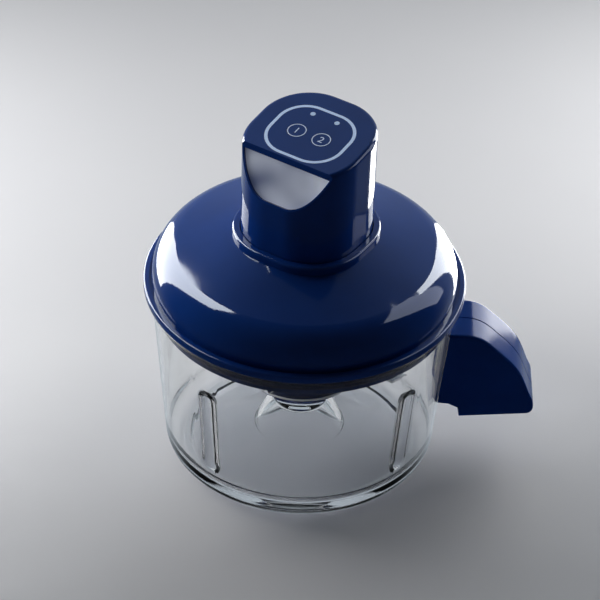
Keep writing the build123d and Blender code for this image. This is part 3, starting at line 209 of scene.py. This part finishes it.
# Each slot's maker and its values. A plastic's are the dark and light colour, the roughness and
# the IOR; a metal's are the colours, the roughness, the stretch and the scale of its lines;
# a print's are the colour and the glow.
NAVY = ((0.005, 0.034, 0.190), (0.006, 0.041, 0.225))
RECIPES = {
    "clear_glass": (clear_glass,),
    "navy_gloss": (gloss_plastic, *NAVY, 0.06),
    "navy_matte": (satin_plastic, (0.005, 0.022, 0.12), (0.006, 0.028, 0.15), 0.24, 1.25),
    "grey_plastic": (inlay_with_painted_highlight,),
    "light_guide": (printed, (0.47, 0.6, 0.84), 0.28),
    "led_lens": (printed, (0.47, 0.62, 0.86), 0.2),
    "seal_rubber": (satin_plastic, (0.007, 0.018, 0.07), (0.01, 0.024, 0.09), 0.5, 1.2),
    "acetal": (satin_plastic, (0.62, 0.62, 0.58), (0.72, 0.72, 0.68), 0.35),
    "sintered_brass": (drawn_metal, (0.42, 0.28, 0.1), (0.55, 0.38, 0.16), 0.4, (1, 1, 1), 1200),
    "stainless_steel": (drawn_metal, (0.5, 0.51, 0.53), (0.62, 0.63, 0.64), 0.24, (1, 1, 0.05)),
    "blade_steel": (drawn_metal, (0.55, 0.56, 0.58), (0.72, 0.73, 0.74), 0.2, (0.06, 1, 1)),
    "steel_can": (drawn_metal, (0.5, 0.5, 0.5), (0.64, 0.63, 0.62), 0.22, (1, 1, 0.04), 350),
    "zinc_screw": (drawn_metal, (0.45, 0.47, 0.5), (0.62, 0.64, 0.66), 0.28, (1, 1, 1), 900),
    "board_laminate": (satin_plastic, (0.012, 0.1, 0.035), (0.02, 0.14, 0.05), 0.3),
    "cell_sleeve": (gloss_plastic, (0.03, 0.1, 0.22), (0.04, 0.13, 0.28), 0.18),
}
MATERIALS = {slot: maker(slot, *values) for slot, (maker, *values) in RECIPES.items()}


def dress(obj, material):
    obj.data.materials.clear()
    obj.data.materials.append(material)


for part in frame["record"]["subparts"]:
    dress(solids[part["node"]], MATERIALS[part["material_slot"]])
# The handle is a little duller than the lid and the head.
handle_navy = gloss_plastic("navy_handle", *NAVY, 0.14, 1.15)
for shell in ("handle_shell_front", "handle_shell_back"):
    dress(solids[shell], handle_navy)


# ---------------------------------------------------------------- making objects
def new_object(name, mesh, material):
    obj = bpy.data.objects.new(name, mesh)
    bpy.context.scene.collection.objects.link(obj)
    dress(obj, material)
    return obj


def from_bmesh(bm, name, material):
    mesh = bpy.data.meshes.new(name)
    bm.to_mesh(mesh)
    bm.free()
    return new_object(name, mesh, material)


def skin(bm, loops, smooth=False):
    """Faces from each closed loop of vertices to the next; a loop may be a single vertex."""
    for here, after in zip(loops, loops[1:]):
        count = max(len(here), len(after))
        for j in range(count):
            i = (j + 1) % count
            corners = (here[j % len(here)], after[j % len(after)],
                       after[i % len(after)], here[i % len(here)])
            bm.faces.new(tuple(dict.fromkeys(corners))).smooth = smooth


# ---------------------------------------------------------------- marks on the keys
PANEL = (Matrix.Rotation(math.radians(HEAD_TURN), 4, "Z") @ Matrix.Translation((0, 0, HEAD_TOP))
         @ Matrix.Rotation(math.radians(PANEL_TILT), 4, "X"))
PRINT = printed("key_print", (0.5, 0.6, 0.8), 0.25)
PRINT_THICK = 0.04 * MM
OUTLINE_OUTER, OUTLINE_INNER = 4.45 * MM, 4.0 * MM
NUMERAL_SIZE = 5.4 * MM
KEY_SPOTS = {"key_1": (-6.58 * MM, -0.98 * MM, "1"), "key_2": (6.58 * MM, -0.98 * MM, "2")}


def flat_ring(name, spot, outer, inner, thick, steps=96):
    """Raised printed ring with bevelled edges, lying on the panel's plane."""
    bevel_low = thick * 0.6
    profile = ((outer, 0), (outer, bevel_low), (outer - thick, thick), (inner + thick, thick),
               (inner, bevel_low), (inner, 0))
    bm = bmesh.new()
    loops = []
    for k in range(steps):
        a = 2 * math.pi * k / steps
        loops.append([bm.verts.new((spot[0] + r * math.cos(a), spot[1] + r * math.sin(a), z))
                      for r, z in profile])
    skin(bm, loops + loops[:1])
    bmesh.ops.recalc_face_normals(bm, faces=bm.faces)
    bmesh.ops.transform(bm, matrix=PANEL, verts=bm.verts)
    return from_bmesh(bm, name, PRINT)


def numeral(name, text, spot, size, thick):
    """Plain numeral, centred on a spot of the panel's plane."""
    curve = bpy.data.curves.new(name, "FONT")
    curve.body = text
    curve.size = size
    curve.extrude = thick / 2
    curve.align_x = "CENTER"
    curve.align_y = "CENTER"
    holder = bpy.data.objects.new(name + "_curve", curve)
    bpy.context.scene.collection.objects.link(holder)
    bpy.context.view_layer.update()
    evaluated = holder.evaluated_get(bpy.context.evaluated_depsgraph_get())
    mesh = bpy.data.meshes.new_from_object(evaluated)
    bpy.data.objects.remove(holder)
    xs, ys = [v.co.x for v in mesh.vertices], [v.co.y for v in mesh.vertices]
    centre = Vector(((min(xs) + max(xs)) / 2, (min(ys) + max(ys)) / 2, 0))
    mesh.transform(PANEL @ Matrix.Translation(Vector((*spot, thick / 2)) - centre))
    return new_object(name, mesh, PRINT)


for key, (x, y, text) in KEY_SPOTS.items():
    ring = flat_ring(key + "_outline", (x, y), OUTLINE_OUTER, OUTLINE_INNER, PRINT_THICK)
    mark = numeral(key + "_numeral", text, (x, y), NUMERAL_SIZE, PRINT_THICK)
    for piece in (ring, mark):
        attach(piece, key)


# ---------------------------------------------------------------- pressed glass bowl
GLASS = 4.0                     # wall thickness
HEEL_R, FOOT_HEIGHT = 65.0, 3.0             # the wall's line starts here ...
MOUTH_R, BEAD_Z = 72.1, 88.8                # ... and passes here
WALL_LEAN = (MOUTH_R - HEEL_R) / (BEAD_Z - FOOT_HEIGHT)
RIM_Z, BEAD_LOW, BEAD_PROUD = 93.4, 88.05, 1.5
HEEL_Z, FOOT_OUTER, FOOT_INNER = 3.2, 56.8, 51.8
FOOT_STEP_R, FOOT_RISE = 49.6, 1.4          # where the underside starts, above the table
FLOOR_Z = 5.3                               # inside floor where it meets the wall
CUP_R, CUP_FLOOR = 3.6, 30.8                # recess in the boss
BOSS_R, BOSS_Z, BOSS_TOP_R, BOSS_TOP_Z = 21.5, 12.8, 11.2, 36.2
HOLLOW_R, HOLLOW_LOW, HOLLOW_TOP_R, HOLLOW_HIGH = 19.7, 8.8, 9.4, 25.8      # under the boss
RIB_TURNS = (49.0, 139.0, 230.6, 317.4)
RIB_HALF, RIB_PROUD, RIB_LOW, RIB_HIGH = 5.0, 4.0, 16.5, 67.0
RIB_ARC, RIB_COLUMNS, WALL_COLUMNS = 5.6, 32, 28    # a rib's half turn; columns on it, beyond it
ROW_STEP = 1.0                  # between the mesh's rows where the ribs are


def bowl_outer(z):
    return HEEL_R + (z - FOOT_HEIGHT) * WALL_LEAN


BOWL_OUTLINE = [                # radius, height, corner rounding
    (0, CUP_FLOOR, 0),
    (CUP_R, CUP_FLOOR, 0.6),
    (CUP_R, BOSS_TOP_Z, 0.6),
    (BOSS_TOP_R, BOSS_TOP_Z, 1.5),
    (BOSS_R, BOSS_Z, 2.2),
    (bowl_outer(FLOOR_Z) - GLASS, FLOOR_Z, 10.0),
    (bowl_outer(RIM_Z) - GLASS, RIM_Z, 1.4),
    (MOUTH_R + BEAD_PROUD, RIM_Z, 1.4),
    (MOUTH_R + BEAD_PROUD, BEAD_LOW + BEAD_PROUD, 0.9),
    (bowl_outer(BEAD_LOW), BEAD_LOW, 0.9),
    (HEEL_R, HEEL_Z, 8.6),
    (FOOT_OUTER, 0, 5.0),
    (FOOT_INNER, 0, 1.0),
    (FOOT_STEP_R, FOOT_RISE, 1.5),
    (HOLLOW_R, HOLLOW_LOW, 2.0),
    (HOLLOW_TOP_R, HOLLOW_HIGH, 1.5),
    (0, HOLLOW_HIGH, 0),
]


def rounded(outline, steps=6):
    """Points along an outline, its corners replaced by arcs."""
    line = []
    for k, (r, z, corner) in enumerate(outline):
        here = Vector((r, z))
        if not corner:
            line.append(here)
            continue
        before = (Vector(outline[k - 1][:2]) - here).normalized()
        after = (Vector(outline[k + 1][:2]) - here).normalized()
        half = before.angle(after) / 2
        centre = here + (before + after).normalized() * corner / math.sin(half)
        spokes = [here + way * corner / math.tan(half) - centre for way in (before, after)]
        for j in range(steps + 1):
            line.append(centre + spokes[0].lerp(spokes[1], j / steps).normalized() * corner)
    return line


def on_inside(r, z, reach=0.3):
    """Whether a point of the outline is on the wall's inside, or nearly so."""
    return abs(r - (bowl_outer(z) - GLASS)) < reach


def divided(line, step):
    """The same points, with more between them along the wall's inside, where the ribs are."""
    fine = [line[0]]
    for here, after in zip(line, line[1:]):
        ribbed = on_inside(*here) and on_inside(*after)
        count = max(1, math.ceil((after - here).length / step)) if ribbed else 1
        fine += [here.lerp(after, j / count) for j in range(1, count + 1)]
    return fine


def rib_swell(turn, r, z):
    """How far a rib stands in from the wall at a turn and height."""
    across = min(abs(math.radians((turn - rib + 180) % 360 - 180)) for rib in RIB_TURNS) * r
    along = z - min(max(z, RIB_LOW + RIB_HALF), RIB_HIGH - RIB_HALF)
    away = math.hypot(across, along) / RIB_HALF
    return RIB_PROUD * math.sqrt(1 - away * away) if away < 1 else 0.0


def column_turns():
    """The turns of the mesh's columns, close together on the ribs."""
    turns = []
    for middle, after in zip(RIB_TURNS, RIB_TURNS[1:] + (RIB_TURNS[0] + 360,)):
        between = after - middle - 2 * RIB_ARC
        turns += [middle + RIB_ARC * (2 * j / RIB_COLUMNS - 1) for j in range(RIB_COLUMNS + 1)]
        turns += [middle + RIB_ARC + between * j / WALL_COLUMNS for j in range(1, WALL_COLUMNS)]
    return turns


def make_bowl():
    """The glass bowl, its outline swept round Z, with the ribs drawn out of its inside."""
    turns = column_turns()
    bm = bmesh.new()
    rows = []
    for r, z in divided(rounded(BOWL_OUTLINE), ROW_STEP):
        if math.isclose(r, 0, abs_tol=1e-6):
            rows.append([bm.verts.new((0, 0, z * MM))])
            continue
        ribbed = on_inside(r, z) and RIB_LOW < z < RIB_HIGH
        row = []
        for turn in turns:
            reach = (r - rib_swell(turn, r, z) if ribbed else r) * MM
            a = math.radians(turn)
            row.append(bm.verts.new((reach * math.cos(a), reach * math.sin(a), z * MM)))
        rows.append(row)
    skin(bm, rows, smooth=True)
    bmesh.ops.recalc_face_normals(bm, faces=bm.faces)
    bowl = from_bmesh(bm, "pressed_bowl", MATERIALS["clear_glass"])
    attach(bowl, "bowl")
    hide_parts("glass_bowl")


make_bowl()


# ---------------------------------------------------------------- return spring
SPRING_R, WIRE_R, SPRING_TURNS = 17.0 * MM, 0.8 * MM, 7
TURN_STEPS, WIRE_SIDES = 40, 12


def make_spring():
    """Round wire coil in the place of the solid one."""
    low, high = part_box("return_spring")
    bottom, rise = low[2] + WIRE_R, high[2] - low[2] - 2 * WIRE_R
    steps = SPRING_TURNS * TURN_STEPS
    bm = bmesh.new()
    loops = []
    for k in range(steps + 1):
        a = 2 * math.pi * SPRING_TURNS * k / steps
        loop = []
        for j in range(WIRE_SIDES):
            b = 2 * math.pi * j / WIRE_SIDES
            r = SPRING_R + WIRE_R * math.cos(b)
            z = bottom + rise * k / steps + WIRE_R * math.sin(b)
            loop.append(bm.verts.new((r * math.cos(a), r * math.sin(a), z)))
        loops.append(loop)
    skin(bm, loops, smooth=True)
    bm.faces.new(loops[0])
    bm.faces.new(reversed(loops[-1]))
    bmesh.ops.recalc_face_normals(bm, faces=bm.faces)
    coil = from_bmesh(bm, "coil_spring", MATERIALS["stainless_steel"])
    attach(coil, "lid")
    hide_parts("return_spring")
    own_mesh(coil)


make_spring()


# ---------------------------------------------------------------- floor and light
FLOOR_REACH = 3.0
COOL, WARM = (0.86, 0.88, 1.0), (1.0, 0.985, 0.965)


def make_floor():
    """Pale matt floor; hidden from reflections, or it would turn the navy faces grey."""
    s = Shader("floor", (0.6, 0.61, 0.64), 0.5, IOR=1.4, Specular_IOR_Level=0.08)
    s.two_tone(s.noise(6, detail=2), (0.6, 0.607, 0.632), (0.618, 0.625, 0.648))
    s.worn(s.noise(90, detail=5), 0.42, 0.56)
    s.bump(s.noise(700), strength=0.06, distance=0.1 * MM)
    bm = bmesh.new()
    bmesh.ops.create_grid(bm, x_segments=2, y_segments=2, size=FLOOR_REACH)
    floor = from_bmesh(bm, "floor", s.material)
    floor.visible_glossy = False


def soft_box(name, middle, facing, upward, width, height, radiance, color=(1, 1, 1), mirrored=True):
    """Area light round a middle point, unseen by the camera, also through glass.

    A mirrored box shows in reflections and lights nothing else; the others light only what is
    matt and show in no reflection.
    """
    back = -Vector(facing).normalized()
    side = Vector(upward).cross(back).normalized()
    rise = back.cross(side)
    light = bpy.data.lights.new(name, "AREA")
    light.shape = "RECTANGLE"
    light.size, light.size_y = width, height
    light.energy = radiance * math.pi * width * height
    light.color = color
    obj = bpy.data.objects.new(name, light)
    bpy.context.scene.collection.objects.link(obj)
    obj.matrix_world = Matrix((
        (side.x, rise.x, back.x, middle[0]),
        (side.y, rise.y, back.y, middle[1]),
        (side.z, rise.z, back.z, middle[2]),
        (0, 0, 0, 1),
    ))
    obj.visible_camera = False
    obj.visible_transmission = False
    obj.visible_glossy = mirrored
    obj.visible_diffuse = not mirrored


def fill_light(name, middle, target, width, height, radiance, color=(1, 1, 1)):
    """Light for the matt surfaces, turned to a target."""
    soft_box(name, middle, Vector(target) - Vector(middle), (0, 0, 1), width, height, radiance,
             color, mirrored=False)


def make_lights():
    soft_box("left_box", middle=(-0.218, 0.085, 0.296), facing=(0.422, -0.903, -0.08),
             upward=(-0.128, -0.147, 0.981), width=0.151, height=0.477, radiance=13.5)
    soft_box("right_box", middle=(0.209, 0.160, 0.257), facing=(-0.423, -0.8, 0.427),
             upward=(0.391, 0.263, 0.882), width=0.081, height=0.496, radiance=12.5)
    soft_box("side_box", middle=(0.292, 0.065, 0.188), facing=(-0.188, -0.108, -0.976),
             upward=(-0.89, -0.402, 0.215), width=0.092, height=0.42, radiance=3.0, color=COOL)
    fill_light("left_fill", middle=(-0.31, 0.17, 0.23), target=(0, 0.1, 0),
               width=0.36, height=0.3, radiance=4.1, color=WARM)
    fill_light("right_fill", middle=(0.3, 0.25, 0.2), target=(0, 0.2, 0),
               width=0.3, height=0.3, radiance=3.7, color=WARM)
    fill_light("back_fill", middle=(0.0, 0.9, 0.9), target=(0, 0.3, 0),
               width=0.9, height=0.6, radiance=0.7)


def make_world():
    """Dim studio, paler towards the back wall and dark in front and overhead."""
    world = bpy.data.worlds.new("studio")
    bpy.context.scene.world = world
    world.use_nodes = True
    nodes, links = world.node_tree.nodes, world.node_tree.links
    split = nodes.new("ShaderNodeSeparateXYZ")
    links.new(nodes.new("ShaderNodeTexCoord").outputs["Generated"], split.inputs["Vector"])
    wall = nodes.new("ShaderNodeMapRange")
    wall.interpolation_type = "SMOOTHSTEP"
    limits = {"From Min": 0.15, "From Max": 0.75, "To Min": 0.035, "To Max": 0.5}
    for key, number in limits.items():
        wall.inputs[key].default_value = number
    links.new(split.outputs["Y"], wall.inputs["Value"])
    nodes["Background"].inputs["Color"].default_value = (0.8, 0.9, 1.0, 1)
    links.new(wall.outputs["Result"], nodes["Background"].inputs["Strength"])


make_floor()
make_lights()
make_world()


# ---------------------------------------------------------------- camera
FRAME_SIDE = 600                # pixels
FOCAL_LENGTH = 2691.0           # pixels
AIM = (301.4, 361.2)            # pixels, where the target falls in the frame
SHIFT = -2.7                    # pixels
TARGET_Z = 0.045                # the target is on the Z axis
DISTANCE = 1.3                  # from the target
ELEVATION = math.radians(39.14)
ROLL = math.radians(2.19)


def make_camera():
    yaw = -math.atan((AIM[0] - FRAME_SIDE / 2) / FOCAL_LENGTH)
    tilt = ELEVATION - math.atan((AIM[1] - FRAME_SIDE / 2) / FOCAL_LENGTH)
    forward = Vector((math.sin(yaw) * math.cos(tilt), math.cos(yaw) * math.cos(tilt),
                      -math.sin(tilt)))
    right = forward.cross(Vector((0, 0, 1))).normalized()
    up = right.cross(forward)
    right, up = (math.cos(ROLL) * right + math.sin(ROLL) * up,
                 math.cos(ROLL) * up - math.sin(ROLL) * right)
    lens = bpy.data.cameras.new("camera")
    lens.sensor_width = 36.0
    lens.lens = FOCAL_LENGTH / FRAME_SIDE * lens.sensor_width
    lens.shift_x = SHIFT / FRAME_SIDE
    lens.clip_start, lens.clip_end = 0.05, 20.0
    camera = bpy.data.objects.new("camera", lens)
    bpy.context.scene.collection.objects.link(camera)
    camera.matrix_world = Matrix((
        (right.x, up.x, -forward.x, 0),
        (right.y, up.y, -forward.y, -DISTANCE * math.cos(ELEVATION)),
        (right.z, up.z, -forward.z, TARGET_Z + DISTANCE * math.sin(ELEVATION)),
        (0, 0, 0, 1),
    ))
    bpy.context.scene.camera = camera
    bpy.context.scene.view_settings.view_transform = "Standard"


make_camera()
